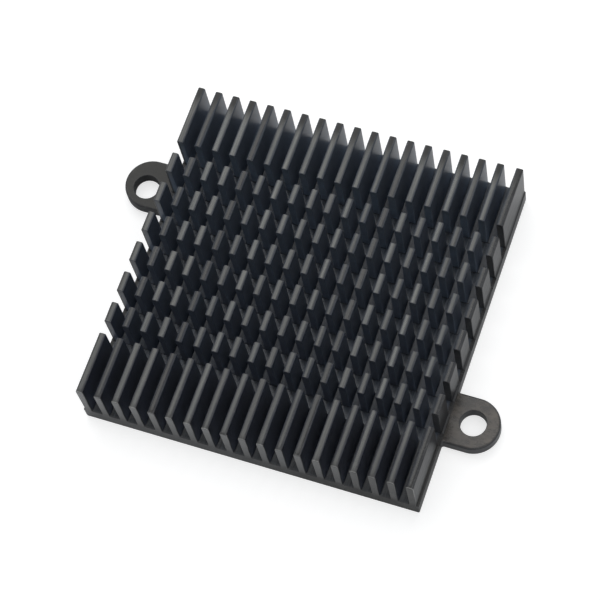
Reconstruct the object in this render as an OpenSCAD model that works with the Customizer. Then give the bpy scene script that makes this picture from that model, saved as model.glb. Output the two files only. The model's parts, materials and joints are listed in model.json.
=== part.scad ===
// Pin fin heat sink: one aluminium extrusion, sawn across into pins, with two mounting ears.
// X runs across the fins, Y along them and Z up. The origin is the centre of the flat underside,
// and the front is at -Y.

/* [Base plate] */
// Width of the base, across the fins
base_w = 48; // [44:0.5:56]
// Length of the base, along the fins
base_l = 48; // [42:0.5:60]
// Thickness of the base under the fins
base_t = 2.4; // [2.2:0.1:4]
// Radius along the base's two lower edges
edge_r = 0.3; // [0.1:0.05:0.6]

/* [Fins] */
// Number of fins across the base
fin_count = 19; // [9:1:21]
// Thickness of each fin
fin_t = 1; // [0.8:0.05:1.3]
// Height of the fins above the base
fin_h = 6.8; // [3:0.1:12]
// Radius on the edges of the fin tips
tip_r = 0.2; // [0.05:0.05:0.35]
// Fillet where a fin grows out of the base
root_r = 0.2; // [0.05:0.05:0.25]
// Strip of bare base outside the outermost fins
side_ledge = 0.28; // [0.26:0.02:1]

/* [Cross-cuts] */
// Number of saw cuts across the fins
cut_count = 7; // [3:1:9]
// Width of each saw cut
cut_w = 1.75; // [1:0.05:2.2]
// Length of the uncut fins at the front and at the rear
end_fin_l = 8.95; // [6:0.05:12]
// Depth that each saw cut bites into the base
cut_bite = 0.1; // [0.05:0.05:0.4]

/* [Mounting ears] */
// Radius of an ear's round end, which is half of the ear's width
ear_r = 3.7; // [3.3:0.1:4.5]
// Distance from the side of the base to the centre of an ear's round end
ear_reach = 3.3; // [2.5:0.1:6]
// Distance of each ear from the middle of the base, along the fins
ear_offset = 10.7; // [0:0.1:14]
// Thickness of an ear
ear_t = 1.8; // [1.2:0.1:2]
// Step from the top of the base down to the top of an ear
ear_drop = 0.1; // [0.05:0.05:0.2]
// Fillet in the corners between an ear and the base
ear_root_r = 0.4; // [0.1:0.1:1]
// Diameter of the fixing hole in each ear
hole_d = 3.6; // [3:0.1:4.2]
// Distance that the left ear's hole sits outboard of its round end's centre
left_hole_out = 0.4; // [0:0.05:0.5]
// Distance that the left ear's hole sits forward of its round end's centre
left_hole_front = 0.6; // [0:0.05:0.7]

/* [Hidden] */
top_z = base_t + fin_h;
// The outermost fins stand one ledge in from the sides, and the others are spaced evenly between
fin_pitch = (base_w - 2 * side_ledge - fin_t) / (fin_count - 1);
first_fin_x = -base_w / 2 + side_ledge + fin_t / 2;
// The first and the last cut end the long fins, and the others are spaced evenly between
cut_pitch = (base_l - 2 * end_fin_l - cut_w) / (cut_count - 1);
first_cut_y = -base_l / 2 + end_fin_l;
ear_x = base_w / 2 + ear_reach;
ear_z = base_t - ear_drop - ear_t;
// Number of straight steps in each small radius of the extruded section
arc_steps = 2;
// Length by which cutting tools run past the metal and ears run into the base
overrun = 1;
$fn = 96;

// Points along an arc about [cx, cz], from angle a0 to angle a1
function arc(cx, cz, r, a0, a1) =
    [for (i = [0:arc_steps]) let (a = a0 + (a1 - a0) * i / arc_steps) [cx + r * cos(a), cz + r * sin(a)]];

// Outline of one fin about its middle line x, from its right foot over the tip to its left foot
function fin_outline(x) = concat(
    arc(x + fin_t / 2 + root_r, base_t + root_r, root_r, 270, 180),
    arc(x + fin_t / 2 - tip_r, top_z - tip_r, tip_r, 0, 90),
    arc(x - fin_t / 2 + tip_r, top_z - tip_r, tip_r, 90, 180),
    arc(x - fin_t / 2 - root_r, base_t + root_r, root_r, 360, 270));

// Section of the whole extrusion, in X and Z: the base below, then the fins from right to left
function section() = concat(
    arc(-base_w / 2 + edge_r, edge_r, edge_r, 180, 270),
    arc(base_w / 2 - edge_r, edge_r, edge_r, 270, 360),
    [[base_w / 2, base_t]],
    [for (k = [fin_count - 1:-1:0]) each fin_outline(first_fin_x + k * fin_pitch)],
    [[-base_w / 2, base_t]]);

// The extrusion as it comes off the press, cut to length
module extrusion() {
    rotate([90, 0, 0])
        linear_extrude(height = base_l, center = true)
            polygon(section());
}

// The gang of saw blades that turns the fins into rows of pins
module saw_cuts() {
    for (k = [0:cut_count - 1])
        translate([-base_w / 2 - overrun, first_cut_y + k * cut_pitch, base_t - cut_bite])
            cube([base_w + 2 * overrun, cut_w, fin_h + cut_bite + overrun]);
}

// Outline of the corner fillet between an ear's front edge and the base, in the ear's own frame
function root_outline() = concat(
    [[0, 0]],
    [for (i = [0:3 * arc_steps]) let (a = 180 - 90 * i / (3 * arc_steps))
        [ear_root_r + ear_root_r * cos(a), -ear_root_r + ear_root_r * sin(a)]]);

// One ear without its hole, standing out to +X from the side of the base
module ear() {
    translate([ear_reach, 0, 0])
        cylinder(r = ear_r, h = ear_t);
    translate([-overrun, -ear_r, 0])
        cube([ear_reach + overrun, 2 * ear_r, ear_t]);
    for (side = [0, 1])
        mirror([0, side, 0])
            translate([0, -ear_r, 0])
                linear_extrude(height = ear_t)
                    polygon(root_outline());
}

module hole() {
    translate([0, 0, -overrun])
        cylinder(d = hole_d, h = ear_t + 2 * overrun);
}

module heat_sink() {
    color([0.22, 0.22, 0.23])
        difference() {
            union() {
                difference() {
                    extrusion();
                    saw_cuts();
                }
                // Right ear towards the front, left ear towards the rear
                translate([base_w / 2, -ear_offset, ear_z])
                    ear();
                translate([-base_w / 2, ear_offset, ear_z])
                    rotate([0, 0, 180])
                        ear();
            }
            translate([ear_x, -ear_offset, ear_z])
                hole();
            translate([-ear_x - left_hole_out, ear_offset - left_hole_front, ear_z])
                hole();
        }
}

heat_sink();
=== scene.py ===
"""Pin fin heat sink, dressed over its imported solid.

The metal is one mesh: the comb-shaped section of the extrusion carried along Y, parted at each
cross-cut, with two ears that are rings round their holes. All sizes are in metres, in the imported
model's frame: X across the fins, Y along them from front to rear, Z up.
"""
import json
import math

import bmesh
import bpy
import numpy as np
from mathutils import Matrix, Vector


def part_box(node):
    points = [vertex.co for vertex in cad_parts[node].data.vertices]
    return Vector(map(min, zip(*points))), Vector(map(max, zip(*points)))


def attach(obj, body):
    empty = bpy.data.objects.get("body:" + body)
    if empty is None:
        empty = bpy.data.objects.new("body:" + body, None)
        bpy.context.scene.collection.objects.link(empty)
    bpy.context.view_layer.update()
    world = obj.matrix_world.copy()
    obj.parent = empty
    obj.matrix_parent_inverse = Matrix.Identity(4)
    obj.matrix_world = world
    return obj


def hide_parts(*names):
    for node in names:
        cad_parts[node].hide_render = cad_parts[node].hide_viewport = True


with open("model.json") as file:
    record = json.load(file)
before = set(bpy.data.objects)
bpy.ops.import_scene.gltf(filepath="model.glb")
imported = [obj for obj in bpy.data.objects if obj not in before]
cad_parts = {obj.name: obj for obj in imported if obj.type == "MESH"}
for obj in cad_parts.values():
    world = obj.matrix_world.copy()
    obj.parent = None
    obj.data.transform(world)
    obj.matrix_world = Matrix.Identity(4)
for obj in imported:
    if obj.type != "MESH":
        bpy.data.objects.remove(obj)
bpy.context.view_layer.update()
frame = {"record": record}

MM = 0.001

# ---- Sizes -------------------------------------------------------------------------------------
_, box_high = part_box("heat_sink")
HALF_L = box_high.y
TOP_Z = box_high.z
HALF_W = 24 * MM
BASE_T = 2.4 * MM
LOWER_EDGE_R = 0.3 * MM

FIN_COUNT = 19
FIN_T = 1.0 * MM
ROOT_R = 0.2 * MM
SIDE_LEDGE = 0.28 * MM

CUT_COUNT = 7
CUT_W = 1.75 * MM
END_FIN_L = 8.95 * MM
CUT_BITE = 0.1 * MM
SAW_FLOOR = BASE_T - CUT_BITE

EAR_R = 3.7 * MM
EAR_REACH = box_high.x - EAR_R - HALF_W
EAR_OFFSET = 10.7 * MM
EAR_T = 1.8 * MM
EAR_DROP = 0.1 * MM
EAR_Z = BASE_T - EAR_DROP - EAR_T
EAR_ROOT_R = 0.4 * MM
# Length that an ear runs on inside the base, and the step that keeps its top off the saw's floor
EAR_BURIED = 0.5 * MM
EAR_STEP = 0.01 * MM
HOLES = {m["name"]: m for m in frame["record"]["mounts"] if m["kind"] == "bore"}

FIN_PITCH = (2 * HALF_W - 2 * SIDE_LEDGE - FIN_T) / (FIN_COUNT - 1)
FIRST_FIN_X = -HALF_W + SIDE_LEDGE + FIN_T / 2
CUT_PITCH = (2 * HALF_L - 2 * END_FIN_L - CUT_W) / (CUT_COUNT - 1)

# Small edges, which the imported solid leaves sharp
SAWN_EDGE = 0.06 * MM
FRONT_EDGE = 0.1 * MM
REAR_EDGE = 0.12 * MM
EAR_TOP_EDGE = 0.28 * MM
EAR_LOW_EDGE = 0.12 * MM
HOLE_EDGE = 0.12 * MM
# Distance of a supporting point from the end of a rounding
SUPPORT = 0.06 * MM

# Crowns of the fins: heights, and powers of their curve, where 2 gives an ellipse
CROWN_HEIGHT = (0.26 * MM, 0.34 * MM)
CROWN_POWER = (1.85, 2.6)
REAR_CROWN_HEIGHT, REAR_CROWN_POWER = 0.14 * MM, 5
# How much of the rear crown the fins' rear ends take on, and where they do
REAR_CROWN_SHARE = 0.55
REAR_CROWN_Y = (19.8 * MM, 22 * MM)

# What the press and the saw leave: lean and shortness of each fin, and a wave along it
LEAN = 0.02 * MM
SHORT = 0.03 * MM
WAVE = 0.012 * MM
WAVE_TURN = 260  # radians per metre

# The last fin bends outward, along its foot and along its tip, fading out over the ledge
BEND = 0.12 * MM
BEND_FOOT_Y = (-5 * MM, 15 * MM)
BEND_TIP_Y = (17 * MM, 23 * MM)
BEND_FADE = 0.24 * MM

# The fins' rear ends droop, at a slope that grows to 1 degree over this stretch
DROOP_Y = (20 * MM, 22.5 * MM)
DROOP_SLOPE = math.tan(math.radians(1))

# Height above which a fin is its tip, as a share, and the share of a rounding that the rest takes
TIP_RISE = 0.9
BELOW_TIP_SHARE = 0.3

# Steps of the comb's roundings, rows of points round its sawn edges, and rows along its metal
LOWER_EDGE_STEPS, UPPER_EDGE_STEPS, ROOT_STEPS, CROWN_STEPS = 5, 3, 4, 9
FRONT_ROWS, REAR_ROWS, SAWN_ROWS = 3, 5, 2
PIN_ROWS, LONG_FIN_ROWS = 3, 12
# Steps of an ear's rims, root fillets and round end, and points on its straight edge and inside
RIM_STEPS, EAR_ROOT_STEPS, EAR_END_STEPS = 4, 6, 36
EAR_EDGE_POINTS, EAR_INSIDE_POINTS = 10, 30

CROWN_SEED, SWAY_SEED = 7, 19
SHARP_ANGLE = math.radians(35)
MERGE_DISTANCE = 0.001 * MM


# ---- Mesh tools --------------------------------------------------------------------------------
def eased(values, span):
    """0 before a span and 1 after it, and straight between: (value - start) / length."""
    return np.clip((values - span[0]) / (span[1] - span[0]), 0, 1)


def arc(cx, cz, r, a0, a1, steps):
    """Points (cx + r cos a, cz + r sin a) and their rays (cos a, sin a), a from a0 to a1 degrees."""
    a = np.radians(np.linspace(a0, a1, steps + 1))
    ray = np.stack([np.cos(a), np.sin(a)], axis=1)
    return np.array([cx, cz]) + r * ray, ray


def strips(rows, columns, width, next_row, next_column):
    """Quads between the points of a grid that is so many columns wide.

    Each goes (row, column), (row, next column), (next row, next column), (next row, column).
    """
    r, c = np.meshgrid(rows, columns, indexing="ij")
    r1, c1 = np.meshgrid(next_row, next_column, indexing="ij")
    quads = np.stack([r * width + c, r * width + c1, r1 * width + c1, r1 * width + c], axis=-1)
    return quads.reshape(-1, 4).tolist()


def finished_mesh(name, points, faces, marks):
    """Mesh of points and faces with doubles merged, faces outwards and sharp edges marked.

    marks maps the name of a point attribute to its values, one for each point.
    """
    mesh = bpy.data.meshes.new(name)
    mesh.from_pydata(points.tolist(), [], faces)
    for mark, values in marks.items():
        layer = mesh.attributes.new(mark, "FLOAT", "POINT")
        layer.data.foreach_set("value", np.asarray(values, np.float32))
    bm = bmesh.new()
    bm.from_mesh(mesh)
    bmesh.ops.remove_doubles(bm, verts=bm.verts, dist=MERGE_DISTANCE)
    bmesh.ops.recalc_face_normals(bm, faces=bm.faces)
    bm.to_mesh(mesh)
    bm.free()
    mesh.shade_smooth()
    mesh.set_sharp_from_angle(angle=SHARP_ANGLE)
    return mesh


def add_object(name, data):
    """An object at the origin, linked to the scene."""
    obj = bpy.data.objects.new(name, data)
    bpy.context.scene.collection.objects.link(obj)
    return obj


def joined(name, meshes):
    """One object of several closed meshes."""
    bm = bmesh.new()
    for mesh in meshes:
        bm.from_mesh(mesh)
    whole = bpy.data.meshes.new(name)
    bm.to_mesh(whole)
    bm.free()
    whole.set_sharp_from_angle(angle=SHARP_ANGLE)
    return add_object(name, whole)


# ---- The comb ----------------------------------------------------------------------------------
def crown(half, height, power):
    """Left half of a fin's crown: |x / half|^power + |z / height|^power = 1, from the side to the top.

    Returns points with the top at z = 0, and outward normals, which are the gradient of that sum.
    """
    t = np.radians(np.linspace(0, 90, CROWN_STEPS + 1))
    x = -np.clip(np.cos(t), 0, 1) ** (2 / power)
    z = np.sin(t) ** (2 / power)
    normals = np.stack([-np.abs(x) ** (power - 1) / half, z ** (power - 1) / height], axis=1)
    normals /= np.linalg.norm(normals, axis=1, keepdims=True)
    return np.stack([x * half, (z - 1) * height], axis=1), normals


def fin_outline(chance):
    """Left half of a fin's section about x = 0: the foot's fillet, the wall and the crown.

    Returns points, outward normals, marks as an edge, which rise and fall over the crown as a
    squared sine, and the step to the fuller crown of the rear end.
    """
    foot, foot_n = arc(-FIN_T / 2 - ROOT_R, BASE_T + ROOT_R, ROOT_R, 270, 360, ROOT_STEPS)
    height = chance.uniform(*CROWN_HEIGHT)
    tip, tip_n = crown(FIN_T / 2, height, chance.uniform(*CROWN_POWER))
    fuller = crown(FIN_T / 2, REAR_CROWN_HEIGHT, REAR_CROWN_POWER)[0] - tip
    wall_z = [BASE_T + ROOT_R + SUPPORT, TOP_Z - height - 2 * SUPPORT]
    wall = np.stack([np.full(2, -FIN_T / 2), wall_z], axis=1)
    plain = np.zeros(len(foot) + len(wall))
    points = np.concatenate([foot, wall, tip + [0, TOP_Z]])
    normals = np.concatenate([-foot_n, [[-1, 0]] * len(wall), tip_n])
    edge = np.concatenate([plain, np.sin(np.linspace(0, np.pi, len(tip))) ** 2])
    step = np.concatenate([np.stack([plain, plain], axis=1), fuller])
    return points, normals, edge, step


def comb_section():
    """The closed outline of the extrusion in X and Z, from the lower left edge over the fins.

    Returns points, outward normals, each point's fin (-1 off the fins), its mark as an edge, and the
    step that takes it to the fuller crown of the fins' rear ends. The lower edges come first and
    last, and the rest is what the saw reaches.
    """
    chance = np.random.default_rng(CROWN_SEED)
    flip = np.array([-1, 1])

    def base_edge(points, normals, edge):
        count = len(points)
        no_step = np.zeros((count, 2))
        return points, normals, np.full(count, -1), np.full(count, float(edge)), no_step

    r = LOWER_EDGE_R
    low, low_n = arc(-HALF_W + r, r, r, 270, 180, LOWER_EDGE_STEPS)
    side_r = BASE_T - SAW_FLOOR
    side, side_n = arc(-HALF_W + side_r, BASE_T - side_r, side_r, 180, 90, UPPER_EDGE_STEPS)
    parts = [base_edge(low, low_n, 0), base_edge(side, side_n, 1)]
    for k in range(FIN_COUNT):
        left, left_n, edge, step = fin_outline(chance)
        points = np.concatenate([left, left[-2::-1] * flip]) + [FIRST_FIN_X + k * FIN_PITCH, 0]
        normals = np.concatenate([left_n, left_n[-2::-1] * flip])
        edges = np.concatenate([edge, edge[-2::-1]])
        steps = np.concatenate([step, step[-2::-1] * flip])
        parts.append((points, normals, np.full(len(points), k), edges, steps))
    parts.append(base_edge(side[::-1] * flip, side_n[::-1] * flip, 1))
    parts.append(base_edge(low[::-1] * flip, low_n[::-1] * flip, 0))
    return [np.concatenate(column) for column in zip(*parts)]


def comb_rows():
    """The Y of each row of points, how far it is drawn in, and the stretches of metal between cuts.

    The last rows before a sawn face are a quarter round of radius r: r (1 - cos a) from the face
    and drawn in by r (1 - sin a), with a from 0 to 90 degrees.
    """
    cuts = -HALF_L + END_FIN_L + np.arange(CUT_COUNT) * CUT_PITCH
    starts = np.concatenate([[-HALF_L], cuts + CUT_W])
    ends = np.concatenate([cuts, [HALF_L]])
    ys, drawn, stretches, first = [], [], [], 0
    for y0, y1 in zip(starts, ends):
        r0, rows0 = (FRONT_EDGE, FRONT_ROWS) if y0 == starts[0] else (SAWN_EDGE, SAWN_ROWS)
        r1, rows1 = (REAR_EDGE, REAR_ROWS) if y1 == ends[-1] else (SAWN_EDGE, SAWN_ROWS)
        a0 = np.radians(np.linspace(0, 90, rows0))
        a1 = np.radians(np.linspace(90, 0, rows1))
        middle_rows = PIN_ROWS if y1 - y0 < END_FIN_L / 2 else LONG_FIN_ROWS
        middle = np.linspace(y0 + r0, y1 - r1, middle_rows)[1:-1]
        y = np.concatenate([y0 + r0 * (1 - np.cos(a0)), middle, y1 - r1 * (1 - np.cos(a1))])
        ys.append(y)
        drawn.append(np.concatenate([r0 * (1 - np.sin(a0)), 0 * middle, r1 * (1 - np.sin(a1))]))
        stretches.append((first, first + len(y) - 1))
        first += len(y)
    return np.concatenate(ys), np.concatenate(drawn), stretches


def comb_points(outline, normals, fin, fuller, y, drawn, sawn_part):
    """P(row, column) = section(column) at the row's Y, drawn in along the section's normal.

    Tips are drawn in by the whole rounding. The rest is drawn in by a share of it, or by a sawn
    edge where that is more, and the uncut part of the base only at its two ends.
    Crowns go over into fuller ones towards the rear. Each fin leans and waves by an amount that
    grows with the height: lean + WAVE sin(WAVE_TURN y + its own phase). The last fin bends out by
    BEND times a share that is eased in along its foot and, further back, along its tip.
    Tips droop at the rear as the integral of their slope: half the stretch times its eased share
    squared, and straight on after it.
    """
    rows = np.arange(len(y))
    rise = np.clip((outline[:, 1] - BASE_T) / (TOP_Z - BASE_T), 0, 1)
    tip = rise > TIP_RISE
    share = np.where(tip, 1, BELOW_TIP_SHARE)
    back = np.maximum(np.minimum(drawn, SAWN_EDGE)[:, None], drawn[:, None] * share[None])
    at_ends = (rows < FRONT_ROWS) | (rows >= len(y) - REAR_ROWS)
    back = np.where(at_ends[:, None] | sawn_part[None], back, 0)
    rear = REAR_CROWN_SHARE * eased(y, REAR_CROWN_Y)
    section = outline[None] + rear[:, None, None] * fuller[None] - back[..., None] * normals[None]

    # One value for each fin, and a last one for the points off the fins
    chance = np.random.default_rng(SWAY_SEED)
    lean = np.append(chance.normal(0, LEAN, FIN_COUNT), 0)
    phase = np.append(chance.uniform(0, 2 * np.pi, FIN_COUNT), 0)
    short = np.append(chance.uniform(0, SHORT, FIN_COUNT), 0)
    along = y[:, None]
    sway = (lean[fin] + WAVE * np.sin(along * WAVE_TURN + phase[fin])) * rise * (fin >= 0)

    past_wall = np.clip(outline[:, 0] - (FIN_T / 2 - FIRST_FIN_X), 0, None)
    at_foot, at_tip = eased(along, BEND_FOOT_Y), eased(along, BEND_TIP_Y)
    last_fin = (1 - past_wall / BEND_FADE) * (fin == FIN_COUNT - 1)
    bent_out = BEND * (at_foot + (at_tip - at_foot) * rise) * last_fin

    half_stretch = (DROOP_Y[1] - DROOP_Y[0]) / 2
    straight_on = np.clip(along - DROOP_Y[1], 0, None)
    droop = DROOP_SLOPE * (half_stretch * eased(along, DROOP_Y) ** 2 + straight_on)

    points = np.empty((len(y), len(outline), 3))
    points[..., 0] = section[..., 0] + sway + bent_out
    points[..., 1] = along
    points[..., 2] = section[..., 1] - (short[fin] + droop) * tip
    return points


def comb_mesh():
    """The comb's surface, row by row along Y.

    Between two stretches only the base goes on, under the flat floor that the saw left. Each sawn
    end is closed with flat faces.
    """
    outline, normals, fin, edge, fuller = comb_section()
    y, drawn, stretches = comb_rows()
    rows, columns = len(y), len(outline)
    first, last = LOWER_EDGE_STEPS + 1, columns - LOWER_EDGE_STEPS - 2
    column = np.arange(columns)
    sawn_part = (column > first) & (column < last)
    points = comb_points(outline, normals, fin, fuller, y, drawn, sawn_part)

    feet = [np.flatnonzero(fin == k)[[0, -1]] for k in range(FIN_COUNT)]
    base = np.flatnonzero((fin < 0) | np.isin(column, feet))

    def end_faces(row, low, high):
        """Flat faces on a sawn end: one for each fin, closed across its foot, and one for the base."""
        fins = [(row * columns + np.arange(a, b + 1)).tolist() for a, b in feet]
        return fins + [(row * columns + base[(base >= low) & (base <= high)]).tolist()]

    lower = np.concatenate([column[:first], column[last:]])
    faces = strips(np.arange(rows - 1), lower, columns, np.arange(1, rows), (lower + 1) % columns)
    for start, end in stretches:
        faces += strips(np.arange(start, end), column[first:last], columns,
                        np.arange(start + 1, end + 1), column[first + 1:last + 1])
    for (_, end), (start, _) in zip(stretches[:-1], stretches[1:]):
        faces += strips([end], [first], columns, [start], [last])
        faces += end_faces(end, first, last) + end_faces(start, first, last)
    faces += end_faces(0, 0, columns) + end_faces(rows - 1, 0, columns)

    worn = np.maximum(edge[None], (drawn > 0)[:, None])
    marks = {"worn": worn.ravel(), "fin": np.repeat(fin[None], rows, axis=0).ravel()}
    return finished_mesh("comb", points.reshape(-1, 3), faces, marks)


# ---- The ears ----------------------------------------------------------------------------------
def half_ear_outline(hole_x, hole_y):
    """The ear's outline from the base to its middle, X pointing away from the base, and its normals.

    It leaves the base through a small hollow fillet, and follows the straight edge and a quarter
    of the round end. The fillet is followed as far as it can be seen from the hole: about the
    fillet's centre, its first point stands acos(radius / distance) off the hole's centre, with a
    margin on the radius and one degree to spare.
    """
    f = EAR_ROOT_R
    towards = np.array([hole_x - f, hole_y + EAR_R + f])
    margin = EAR_TOP_EDGE + 3 * SUPPORT
    seen = math.atan2(towards[1], towards[0]) + math.acos((f + margin) / np.linalg.norm(towards))
    one_degree_less = math.degrees(seen) - 1
    fillet, ray = arc(f, -EAR_R - f, f, one_degree_less, 90, EAR_ROOT_STEPS)
    straight_x = np.linspace(f, EAR_REACH, EAR_EDGE_POINTS + 2)[1:-1]
    straight = np.stack([straight_x, np.full(EAR_EDGE_POINTS, -EAR_R)], axis=1)
    round_end, round_n = arc(EAR_REACH, 0, EAR_R, -90, 0, EAR_END_STEPS)
    normals = np.concatenate([-ray, [[0, -1]] * EAR_EDGE_POINTS, round_n])
    return np.concatenate([fillet, straight, round_end]), normals


def ear_outline(hole_x, hole_y):
    """The part of an ear's outline outside the base: one half, and the other half coming back."""
    flip = np.array([1, -1])
    lower, lower_n = half_ear_outline(hole_x, hole_y)
    upper, upper_n = half_ear_outline(hole_x, -hole_y)
    points = np.concatenate([lower, upper[-2::-1] * flip])
    return points, np.concatenate([lower_n, upper_n[-2::-1] * flip])


def buried(rim, normals):
    """Each row of the rim carried on along its end tangents to a line in the base, and closed there."""
    inward = np.array([[normals[0, 1], -normals[0, 0]], [-normals[-1, 1], normals[-1, 0]]])
    ends = rim[:, [0, -1]]
    ends = ends + inward * ((-EAR_BURIED - ends[..., :1]) / inward[:, :1])
    inside = np.linspace(ends[:, 1], ends[:, 0], EAR_INSIDE_POINTS + 2)[1:-1]
    inside = np.moveaxis(inside, 0, 1)
    return np.concatenate([ends[:, :1], rim, ends[:, 1:], inside], axis=1)


def ear_ring():
    """The ring's section, from the hole's lower lip up its wall, out over the top and back below.

    Returns for each point how far it stands back from its wall, its height, 1 on the outline or 0
    on the hole, and its mark as an edge. A rim of radius r is a quarter round: r (1 - cos a) one
    way and r (1 - sin a) the other, with a from 0 to 90 degrees.
    """
    a = np.radians(np.linspace(0, 90, RIM_STEPS + 1))
    more, less = 1 - np.cos(a), 1 - np.sin(a)
    hole, top, low, gap = HOLE_EDGE, EAR_TOP_EDGE, EAR_LOW_EDGE, 2 * SUPPORT
    stretches = [
        (hole * less, hole * more, 0, 1),
        ([0, 0], [hole + gap, EAR_T - hole - gap], 0, 0),
        (hole * more, EAR_T - hole * less, 0, 1),
        ([hole + gap, top + gap], [EAR_T, EAR_T], [0, 1], 0),
        (top * less, EAR_T - top * more, 1, 1),
        ([0, 0], [EAR_T - top - gap, low + gap], 1, 0),
        (low * more, low * less, 1, 1),
        ([low + gap, hole + gap], [0, 0], [1, 0], 0),
    ]
    return [np.concatenate([np.broadcast_to(stretch[k], len(stretch[0])) for stretch in stretches])
            for k in range(4)]


def ear_mesh(name, hole_x, hole_y, hole_r, side):
    """A ring: each point goes from the hole's wall to the outline and back underneath.

    P(u, v) = hole(u, d(v)) or outline(u, d(v)) at height z(v), where d is how far the point stands
    back from the wall, so that every rim is a quarter round. The hole's points lie on the rays from
    its centre to the outline's first row. side is 1 for the right ear and -1 for the left one,
    which is turned by half a turn.
    """
    d, z, on_outline, worn = ear_ring()
    rim, normals = ear_outline(hole_x, hole_y)
    edge = buried(rim[None] - d[:, None, None] * normals[None], normals)
    hole_ray = edge[np.flatnonzero(on_outline)[0]] - [hole_x, hole_y]
    hole_ray /= np.linalg.norm(hole_ray, axis=1, keepdims=True)
    hole = [hole_x, hole_y] + (hole_r + d[:, None, None]) * hole_ray[None]
    xy = np.where(on_outline[:, None, None] == 1, edge, hole)
    points = np.empty(xy.shape[:2] + (3,))
    points[..., 0] = side * (HALF_W + xy[..., 0])
    points[..., 1] = side * (xy[..., 1] - EAR_OFFSET)
    points[..., 2] = EAR_Z - EAR_STEP + z[:, None]
    nv, nu = xy.shape[:2]
    v, u = np.arange(nv), np.arange(nu)
    faces = strips(v, u, nu, (v + 1) % nv, (u + 1) % nu)
    marks = {"worn": np.repeat(worn[:, None], nu, axis=1).ravel(), "fin": np.full(nv * nu, -1)}
    return finished_mesh(name, points.reshape(-1, 3), faces, marks)


right, left = HOLES["right_ear_hole"]["pos_m"], HOLES["left_ear_hole"]["pos_m"]
hole_r = HOLES["right_ear_hole"]["dims"]["r_mm"] * MM
sink = joined("finned_body", [
    comb_mesh(),
    ear_mesh("right_ear", right[0] - HALF_W, right[1] + EAR_OFFSET, hole_r, 1),
    ear_mesh("left_ear", -left[0] - HALF_W, -left[1] + EAR_OFFSET, hole_r, -1),
])


# ---- Node tools --------------------------------------------------------------------------------
def rgb(red, green, blue):
    """A colour from linear red, green and blue."""
    return (red, green, blue, 1)


def grey(value):
    return rgb(value, value, value)


class Nodes:
    """Short hands for making nodes in one tree."""

    def __init__(self, tree):
        self.tree = tree

    def put(self, socket, value):
        """Link a socket to another's value, or set it to a plain one."""
        if isinstance(value, bpy.types.NodeSocket):
            self.tree.links.new(value, socket)
        else:
            socket.default_value = value

    def add(self, kind, inputs=None, **settings):
        made = self.tree.nodes.new(kind)
        for name, value in settings.items():
            setattr(made, name, value)
        for name, value in (inputs or {}).items():
            self.put(made.inputs[name], value)
        return made

    def math(self, operation, a, b=0.0, c=0.0):
        return self.add("ShaderNodeMath", {0: a, 1: b, 2: c}, operation=operation).outputs[0]

    def product(self, first, *others):
        for other in others:
            first = self.math("MULTIPLY", first, other)
        return first

    def plus(self, value, mask, share):
        """value + mask x share"""
        return self.math("MULTIPLY_ADD", mask, share, value)

    def ramp(self, value, span, low=0.0, high=1.0):
        """low before a span and high after it, and straight between."""
        made = self.add("ShaderNodeMapRange", {"Value": value, "From Min": span[0],
                                               "From Max": span[1], "To Min": low, "To Max": high})
        return made.outputs["Result"]

    def mix(self, factor, a, b, blend="MIX"):
        made = self.add("ShaderNodeMix", data_type="RGBA", blend_type=blend)
        for index, value in ((0, factor), (6, a), (7, b)):
            self.put(made.inputs[index], value)
        return made.outputs[2]

    def mix_values(self, factor, a, b):
        return self.add("ShaderNodeMix", {0: factor, 2: a, 3: b}, data_type="FLOAT").outputs[0]

    def tinted(self, colour, tint):
        return self.mix(1.0, colour, tint, "MULTIPLY")

    def scaled(self, colour, value):
        spread = self.add("ShaderNodeCombineXYZ", {0: value, 1: value, 2: value}).outputs[0]
        return self.tinted(colour, spread)

    def noise(self, vector, scale, detail=3.0, roughness=0.55):
        """Noise over a position stretched by scale, one number for each axis, in 1/metre."""
        moved = self.add("ShaderNodeVectorMath", {0: vector, 1: scale}, operation="MULTIPLY")
        made = self.add("ShaderNodeTexNoise", {"Vector": moved.outputs[0], "Scale": 1.0,
                                               "Detail": detail, "Roughness": roughness})
        return made.outputs[0]


def new_group(name, inputs, outputs):
    """A shader node group with these sockets, its nodes, its input sockets and its output node.

    inputs and outputs map names to Vector or Float.
    """
    group = bpy.data.node_groups.new(name, "ShaderNodeTree")
    for way, sockets in (("INPUT", inputs), ("OUTPUT", outputs)):
        for socket, kind in sockets.items():
            group.interface.new_socket(socket, in_out=way, socket_type="NodeSocket" + kind)
    n = Nodes(group)
    return n, n.add("NodeGroupInput").outputs, n.add("NodeGroupOutput").inputs


# ---- The finish --------------------------------------------------------------------------------
# Patterns, in 1/metre along X, Y and Z
DRAWN_LINES = (3300, 45, 3300)
SAW_LINES = (130, 4500, 6500)
GRAIN = (11000, 11000, 11000)
CLOUDS = (260, 260, 260)
MOTTLE = (600, 900, 600)
WEAR_PATCHES = (420, 420, 420)
WEAR_SPECKS = (5200, 5200, 5200)

# Colours. In a pair, the first is the darker clouds or mottle, or the front of the part.
DYE = rgb(0.0125, 0.0135, 0.016), rgb(0.017, 0.018, 0.021)
# Channel walls: the lighter rear colour is painted light from behind
CHANNEL_WALL_PAINTED_LIGHT = rgb(0.014, 0.0185, 0.028), rgb(0.032, 0.04, 0.054)
CHANNEL_FLOOR = rgb(0.029, 0.033, 0.039), rgb(0.045, 0.056, 0.074)
FIN_TOP = rgb(0.06, 0.0625, 0.0615), rgb(0.077, 0.077, 0.0725)
# Painted reflection of the lit floor on the fins' front ends
FIN_FRONT_PAINTED_LIGHT = rgb(0.15, 0.152, 0.155)
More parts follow.
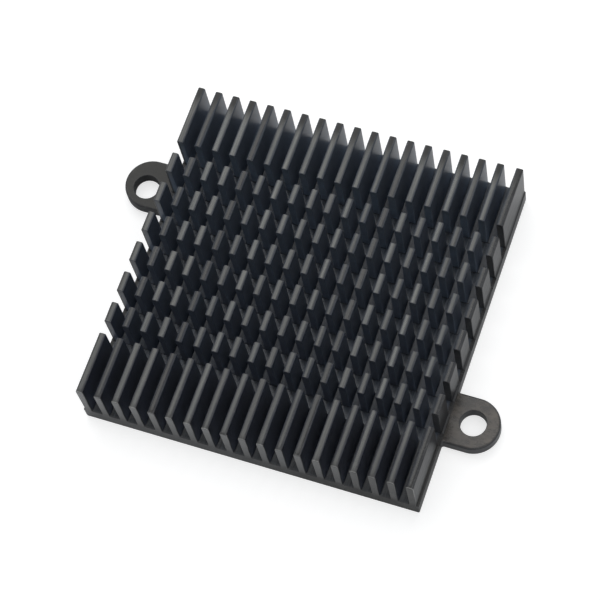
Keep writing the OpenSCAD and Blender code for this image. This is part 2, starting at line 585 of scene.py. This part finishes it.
# Painted shade in the crease on the ledges beside the outer fins
LEDGE = rgb(0.007, 0.007, 0.008)
RIGHT_EAR = rgb(0.014, 0.0105, 0.0075), rgb(0.052, 0.044, 0.036)
LEFT_EAR = rgb(0.008, 0.008, 0.0065), rgb(0.016, 0.0155, 0.013)
# Painted highlights on the rounded front corners of the tips, the second one brighter
CORNER, CORNER_BRIGHTER_HIGHLIGHT = grey(0.12), rgb(0.34, 0.34, 0.33)
BARE_EDGE = rgb(0.12, 0.12, 0.118)
# Painted shade of a chip on one front corner
CHIP = rgb(0.006, 0.006, 0.007)
# Painted shade: on the outer foot at the right near the front, and on the front ends
FOOT_PAINTED_SHADE = rgb(0.0025, 0.0025, 0.0027)
FRONT_PAINTED_SHADE = grey(0.001)

# Tints, which a channel's colour is multiplied by
MOUTH_TINT = rgb(0.66, 0.56, 0.48)
LOW_FRONT_TINT, HIGH_FRONT_TINT = rgb(1.32, 1.17, 1.1), rgb(1.08, 1, 1)
# CUT_TINT makes the sawn faces lighter as painted light; RIGHT_CUT_TINT darkens them as painted shade
CUT_TINT = rgb(1.12, 1.08, 1.1), rgb(1.5, 1.55, 1.5)
RIGHT_CUT_TINT = rgb(0.42, 0.34, 0.26)

# The chip on the ninth fin's front corner, painted as dark shade with no dent in the mesh, measured
# in a space where X is narrowed to this share
CHIPPED_FIN = 8
CHIP_NARROWED = 0.3

IOR = 1.43
TOOL_MARK_DEPTH = 0.004 * MM
BUMP_STRENGTH = 0.5
# Range of the noise that the lines' tone and roughness follow
LINE_RANGE = (0.3, 0.7)


def mm(low, high):
    """A span given in mm, in metres."""
    return low * MM, high * MM


def tool_marks_group():
    """Height of drawn lines along Y on extruded faces and of saw lines along X on sawn ones."""
    n, given, out = new_group("tool_marks", {"Position": "Vector", "Sawn": "Float"},
                              {"Height": "Float", "Drawn": "Float"})
    drawn = n.noise(given["Position"], DRAWN_LINES, 2.0)
    saw = n.noise(given["Position"], SAW_LINES, 2.0)
    grain = n.noise(given["Position"], GRAIN, 2.0)
    lines = n.mix_values(given["Sawn"], drawn, saw)
    n.put(out["Height"], n.plus(lines, grain, 0.35))
    n.put(out["Drawn"], lines)
    return n.tree


def wear_group():
    """Where an edge has lost its finish: the edge mark broken up by noise."""
    n, given, out = new_group("edge_wear", {"Position": "Vector", "Edge": "Float"}, {"Mask": "Float"})
    patches = n.ramp(n.noise(given["Position"], WEAR_PATCHES, 2.0), (0.35, 0.7))
    specks = n.ramp(n.noise(given["Position"], WEAR_SPECKS, 3.0), (0.4, 0.65))
    n.put(out["Mask"], n.product(patches, specks, given["Edge"]))
    return n.tree


class Surface:
    """Where a point of the metal lies and which way it faces, as sockets and as masks from 0 to 1."""

    def __init__(self, n):
        self.position = n.add("ShaderNodeTexCoord").outputs["Object"]
        place = n.add("ShaderNodeSeparateXYZ", {0: self.position}).outputs
        self.x, self.y, self.z = place["X"], place["Y"], place["Z"]
        normal = n.add("ShaderNodeNewGeometry").outputs["Normal"]
        facing = n.add("ShaderNodeSeparateXYZ", {0: normal}).outputs
        self.facing_y = facing["Y"]
        # own is a random value from 0 to 1, one for each fin
        fin = n.add("ShaderNodeAttribute", attribute_name="fin").outputs["Fac"]
        self.own = n.add("ShaderNodeTexWhiteNoise", {"W": fin}, noise_dimensions="1D").outputs[0]
        self.cloud = n.noise(self.position, CLOUDS, 4.0)
        self.mottle = n.noise(self.position, MOTTLE, 4.0, 0.65)

        self.up = n.ramp(facing["Z"], (0.9, 0.998))
        self.sawn = n.ramp(n.math("ABSOLUTE", self.facing_y), (0.6, 0.9))
        self.at_front = n.ramp(self.y, (-HALF_L, -HALF_L + 0.2 * MM), 1, 0)
        self.sawn_front = n.product(self.sawn, self.at_front)
        self.on_tips = n.ramp(self.z, mm(5, 7))
        self.on_fins = n.ramp(self.z, mm(2.4, 3.4))
        self.on_base = n.ramp(self.z, mm(2.4, 3.4), 1, 0)
        self.between_sides = n.ramp(n.math("ABSOLUTE", self.x), mm(23.3, 23.6), 1, 0)
        self.right_ear = n.ramp(self.x, (HALF_W, HALF_W + 0.2 * MM))
        self.left_ear = n.ramp(self.x, (-HALF_W, -HALF_W - 0.2 * MM))
        self.ears = n.math("MAXIMUM", self.right_ear, self.left_ear)
        self.base_front = n.product(n.ramp(self.x, mm(-8, 14)), self.on_base)


def channel_colour(n, s):
    """Blue-black walls between the fins with painted light: lighter towards the rear, and from 4 mm
    down 4 to 4.3 times as light, standing in for the light that reaches into the channels.

    Just behind the front they are tinted, browner at the very mouth. Sawn faces are lighter as
    painted light, except at the far right, where they are darker as painted shade.
    """
    # Painted light: walls lighter towards the rear, and up to 4.3 times as light low down
    from_front_to_rear = mm(-18, 22)
    rearward = n.ramp(s.y, from_front_to_rear)
    lit_from_behind = n.ramp(s.y, from_front_to_rear, 3.0, 3.3)
    down = n.ramp(s.z, mm(4, 9), 1, 0)
    walls = n.scaled(n.mix(rearward, *CHANNEL_WALL_PAINTED_LIGHT), n.plus(1, down, lit_from_behind))

    near_tops = n.ramp(s.z, mm(5, 8))
    past_mouth = n.ramp(s.y, mm(-23.9, -22.4))
    past_front = n.ramp(s.y, mm(-17, -14))
    front = n.mix(past_front, n.mix(near_tops, LOW_FRONT_TINT, HIGH_FRONT_TINT), grey(1))
    walls = n.tinted(walls, n.mix(past_mouth, MOUTH_TINT, front))

    # Painted light on the sawn faces, more towards the rear, and painted shade on them at the far right
    rear_cuts = n.ramp(s.y, mm(-15, 15))
    far_right = n.ramp(s.x, mm(20, 22.8))
    cut = n.mix(far_right, n.mix(rear_cuts, *CUT_TINT), RIGHT_CUT_TINT)
    return n.mix(s.sawn, walls, n.tinted(walls, cut))


def upright_colour(n, s):
    """Black dye on the outside and the channels' colour inside, and on the fins' front ends a
    painted reflection of the lit floor: a lighter grey, most to the left and at the top.
    """
    outside = n.mix(n.ramp(s.cloud, (0.3, 0.7)), *DYE)
    short_of_ends = n.ramp(n.math("ABSOLUTE", s.y), (HALF_L - 0.3 * MM, HALF_L - 0.1 * MM), 1, 0)
    above_base = n.ramp(s.z, (BASE_T, BASE_T + 0.2 * MM))
    inside = n.product(s.between_sides, short_of_ends, above_base)
    colour = n.mix(inside, outside, channel_colour(n, s))

    # Painted light on the front ends: lighter to the left and upwards
    leftward = n.ramp(s.x, mm(-10, 24), 1, 0.4)
    upward = n.ramp(s.z, mm(2.2, 9))
    return n.mix(n.product(s.sawn_front, leftward, upward), colour, FIN_FRONT_PAINTED_LIGHT)


def upward_colour(n, s):
    """Grey fin tops, each in its own tone and dark at the rear end, over floors, ledges in painted
    shade, and ears.
    """
    own_tone = n.ramp(s.own, (0, 1), 0.05, 1.9)
    rearward = n.ramp(s.y, mm(-22, 18), 0.75, 1.2)
    short_of_rear = n.ramp(s.y, mm(20, 22.6), 1, 0.1)
    tops = n.mix(n.ramp(s.cloud, (0.35, 0.65)), *FIN_TOP)
    tops = n.scaled(tops, n.product(own_tone, rearward, short_of_rear))

    past_mouth = n.ramp(s.y, mm(-22, -15))
    # The ledges get painted shade
    low = n.mix(s.between_sides, LEDGE, n.mix(past_mouth, *CHANNEL_FLOOR))
    colour = n.mix(s.on_tips, low, tops)
    mottle = n.ramp(s.mottle, (0.35, 0.65))
    colour = n.mix(s.right_ear, colour, n.mix(mottle, *RIGHT_EAR))
    return n.mix(s.left_ear, colour, n.mix(mottle, *LEFT_EAR))


def with_corners(n, s, colour):
    """Painted highlights on the front corners of the tips, brighter on part of the fins, chosen at
    random, and on the far right, and one chip painted as a dark shade.
    """
    leaves_top = n.ramp(s.facing_y, (-0.06, -0.25))
    short_of_face = n.ramp(s.facing_y, (-0.75, -0.97), 1, 0)
    far_right = n.ramp(s.x, mm(20, 22))
    brighter_highlight = n.math("MAXIMUM", n.ramp(s.own, (0.25, 0.6)), far_right)
    # Painted highlight on the rounding between a tip's top and its front face
    corner = n.product(leaves_top, short_of_face, s.on_tips, s.at_front)
    colour = n.mix(corner, colour, n.mix(brighter_highlight, CORNER, CORNER_BRIGHTER_HIGHLIGHT))

    # Painted shade of a chip on the ninth fin's front corner, which the mesh doesn't have
    narrowed = n.add("ShaderNodeVectorMath", {0: s.position, 1: (CHIP_NARROWED, 1, 1)},
                     operation="MULTIPLY").outputs["Vector"]
    centre = (CHIP_NARROWED * (FIRST_FIN_X + CHIPPED_FIN * FIN_PITCH), -HALF_L, TOP_Z)
    away = n.add("ShaderNodeVectorMath", {0: narrowed, 1: centre}, operation="DISTANCE")
    return n.mix(n.ramp(away.outputs["Value"], mm(0.2, 0.3), 1, 0), colour, CHIP)


def with_painted_shade_right(n, s, colour):
    """Painted shade at the right near the front on the foot, ledge and side, and painted shade on the
    front ends of the right fins and of the base, more towards the right.
    """
    at_wall = n.ramp(s.x, mm(23.2, 23.4))
    off_ear = n.ramp(s.x, (HALF_W + 0.05 * MM, HALF_W + 0.3 * MM), 1, 0)
    near_front = n.ramp(s.y, mm(-15, -13), 1, 0)
    at_foot = n.ramp(s.z, mm(3.2, 5.4), 1, 0)
    off_front_face = n.ramp(s.facing_y, (-0.8, -0.5))
    # Painted shade on the foot, ledge and side at the right near the front
    foot = n.product(at_wall, off_ear, near_front, at_foot, off_front_face)
    colour = n.mix(foot, colour, FOOT_PAINTED_SHADE)

    # Painted shade on the front ends of the right fins and of the base
    right_fins = n.ramp(s.x, mm(12, 16), 0, 0.65)
    last_fin = n.ramp(s.x, mm(21.6, 22.4), 0, 0.95)
    fins = n.product(n.math("MAXIMUM", right_fins, last_fin), s.on_fins)
    return n.mix(n.product(s.sawn_front, n.plus(fins, s.base_front, 0.9)), colour, FRONT_PAINTED_SHADE)


def roughness(n, s, lines):
    """Roughness from the tool marks' lines or the ears' mottle, and more by a share of each mask."""
    at_rear = n.product(s.up, n.ramp(s.y, mm(21, 23)))
    own = n.product(s.up, n.math("SUBTRACT", s.own, 0.5))
    at_side = n.math("SUBTRACT", n.math("SUBTRACT", 1, s.between_sides), s.ears)
    ledge = n.ramp(n.product(at_side, n.math("SUBTRACT", s.up, s.on_tips)), (0, 1))
    base_front = n.product(s.sawn_front, s.base_front)
    rough = n.ramp(lines, LINE_RANGE, 0.3, 0.38)
    for mask, share in ((s.sawn, 0.04), (s.left_ear, 0.25), (base_front, 0.12), (at_rear, 0.22),
                        (own, 0.2), (ledge, 0.35)):
        rough = n.plus(rough, mask, share)
    return rough


def black_anodised():
    """Black anodised aluminium: blue-black in the channels, warmer and greyer on what faces up.

    Its colour is streaked by the tool marks, or mottled on the ears, and bare edges show through.
    Painted light and shade are in its colour too: in the channels, on the fins' front ends and front
    corners, on the ledges, on one chip and at the right near the front.
    The bump is the tool marks' height, 13 times as deep on the tips' tops, and the ears' mottle.
    """
    mat = bpy.data.materials.new("black_anodised_aluminium")
    mat.use_nodes = True
    bsdf = mat.node_tree.nodes["Principled BSDF"].inputs
    n = Nodes(mat.node_tree)
    s = Surface(n)
    worn = n.add("ShaderNodeAttribute", attribute_name="worn").outputs["Fac"]
    marks = n.add("ShaderNodeGroup", {"Position": s.position, "Sawn": s.sawn},
                  node_tree=tool_marks_group())
    wear = n.add("ShaderNodeGroup", {"Position": s.position, "Edge": worn}, node_tree=wear_group())

    lines = n.mix_values(s.ears, marks.outputs["Drawn"], s.mottle)
    contrast = n.plus(0.18, s.up, 0.25)
    streaks = n.plus(1, n.ramp(lines, LINE_RANGE, -1, 1), contrast)
    colour = n.mix(s.up, upright_colour(n, s), upward_colour(n, s))
    colour = with_painted_shade_right(n, s, with_corners(n, s, colour))
    colour = n.scaled(colour, streaks)
    n.put(bsdf["Base Color"], n.mix(n.product(wear.outputs["Mask"], 0.5), colour, BARE_EDGE))
    n.put(bsdf["Roughness"], roughness(n, s, lines))

    deeper = n.plus(1, n.product(s.up, s.on_tips), 12)
    height = n.mix_values(s.ears, n.product(marks.outputs["Height"], deeper), s.mottle)
    bump = n.add("ShaderNodeBump", {"Strength": BUMP_STRENGTH, "Distance": TOOL_MARK_DEPTH,
                                    "Height": height})
    n.put(bsdf["Normal"], bump.outputs[0])
    bsdf["IOR"].default_value = IOR
    return mat


sink.data.materials.clear()
sink.data.materials.append(black_anodised())
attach(sink, "root")
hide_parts("heat_sink")


# ---- Floor, background, light ------------------------------------------------------------------
HALF_FLOOR = 1.5
LAMP_DISTANCE = 0.6


def glossy_rays(n):
    """1 for rays from a glossy bounce or through glass, else 0."""
    path = n.add("ShaderNodeLightPath").outputs
    return n.math("MAXIMUM", path["Is Glossy Ray"], path["Is Transmission Ray"])


def camera_rays(n):
    """1 for rays straight from the camera, else 0."""
    return n.add("ShaderNodeLightPath").outputs["Is Camera Ray"]


def lifted(n, value, lift):
    """A plain floor of that grey with some light of its own, so that white paper stays white."""
    plain = n.add("ShaderNodeBsdfDiffuse", {"Color": grey(value)})
    glow = n.add("ShaderNodeEmission", {"Color": grey(1), "Strength": lift})
    return n.add("ShaderNodeAddShader", {0: plain.outputs[0], 1: glow.outputs[0]}).outputs[0]


def pale_floor():
    """Pale paper: 0.8 for the light that it sends on, and white to the camera and in the metal."""
    mat = bpy.data.materials.new("pale_floor")
    mat.use_nodes = True
    mat.node_tree.nodes.clear()
    n = Nodes(mat.node_tree)
    plain = n.add("ShaderNodeBsdfDiffuse", {"Color": grey(0.8)}).outputs[0]
    in_metal, to_camera = lifted(n, 0.92, 0.05), lifted(n, 0.52, 0.67)
    rest = n.add("ShaderNodeMixShader", {0: glossy_rays(n), 1: plain, 2: in_metal}).outputs[0]
    shown = n.add("ShaderNodeMixShader", {0: camera_rays(n), 1: rest, 2: to_camera})
    n.add("ShaderNodeOutputMaterial", {"Surface": shown.outputs[0]})
    return mat


def studio_world():
    """A white surround to the camera and in the metal, and a dimmer, bluer fill for the rest."""
    world = bpy.data.worlds.new("studio")
    bpy.context.scene.world = world
    world.use_nodes = True
    world.node_tree.nodes.clear()
    n = Nodes(world.node_tree)
    white = n.add("ShaderNodeBackground", {"Color": grey(1), "Strength": 1.0}).outputs[0]
    fill = n.add("ShaderNodeBackground", {"Color": rgb(0.95, 0.98, 1.0), "Strength": 0.42}).outputs[0]
    shown = n.math("MAXIMUM", glossy_rays(n), camera_rays(n))
    both = n.add("ShaderNodeMixShader", {0: shown, 1: fill, 2: white})
    n.add("ShaderNodeOutputWorld", {"Surface": both.outputs[0]})


def area_light(name, direction, size_x, size_y, radiance):
    """A soft box that faces the object from a direction, with its width along X.

    Its power is radiance x pi x its area.
    """
    data = bpy.data.lights.new(name, "AREA")
    data.shape = "RECTANGLE"
    data.size, data.size_y = size_x, size_y
    data.energy = radiance * math.pi * size_x * size_y
    away = Vector(direction).normalized()
    depth = away.cross(Vector((1, 0, 0))).normalized()
    turn = Matrix((depth.cross(away), depth, away)).transposed().to_4x4()
    add_object(name, data).matrix_world = Matrix.Translation(away * LAMP_DISTANCE) @ turn


floor_mesh = bpy.data.meshes.new("floor")
corners = [(x * HALF_FLOOR, y * HALF_FLOOR, 0) for x, y in ((-1, -1), (1, -1), (1, 1), (-1, 1))]
floor_mesh.from_pydata(corners, [], [(0, 1, 2, 3)])
floor = add_object("floor", floor_mesh)
floor.data.materials.append(pale_floor())

studio_world()
area_light("soft_box", (-0.27, 0.34, 0.9), size_x=0.5, size_y=0.42, radiance=2.05)
area_light("side_box", (0.85, -0.3, 0.95), size_x=0.35, size_y=0.45, radiance=1.2)
area_light("back_box", (-0.1, 0.95, 0.4), size_x=0.6, size_y=0.3, radiance=1.2)

# ---- Camera ------------------------------------------------------------------------------------
AZIMUTH, ELEVATION, ROLL = math.radians(33.962), math.radians(65.248), math.radians(16.11)
TARGET = Vector((-1.467 * MM, 0.571 * MM, 0))
CAMERA_DISTANCE = 0.31537
LENS_MM, SENSOR_MM = 136.681, 36
NEAREST, FARTHEST = 0.01, 10


def add_camera():
    """A camera that looks along its azimuth and elevation at the target, turned by its roll."""
    level = math.cos(ELEVATION)
    back = Vector((math.sin(AZIMUTH) * level, -math.cos(AZIMUTH) * level, math.sin(ELEVATION)))
    across = (-back).cross(Vector((0, 0, 1))).normalized()
    up = across.cross(-back) * math.cos(ROLL) + across * math.sin(ROLL)
    data = bpy.data.cameras.new("camera")
    data.lens, data.sensor_width = LENS_MM, SENSOR_MM
    data.clip_start, data.clip_end = NEAREST, FARTHEST
    camera = add_object("camera", data)
    turn = Matrix(((-back).cross(up), up, back)).transposed().to_4x4()
    camera.matrix_world = Matrix.Translation(TARGET + CAMERA_DISTANCE * back) @ turn
    return camera


bpy.context.scene.camera = add_camera()

bpy.context.scene.view_settings.view_transform = "Standard"
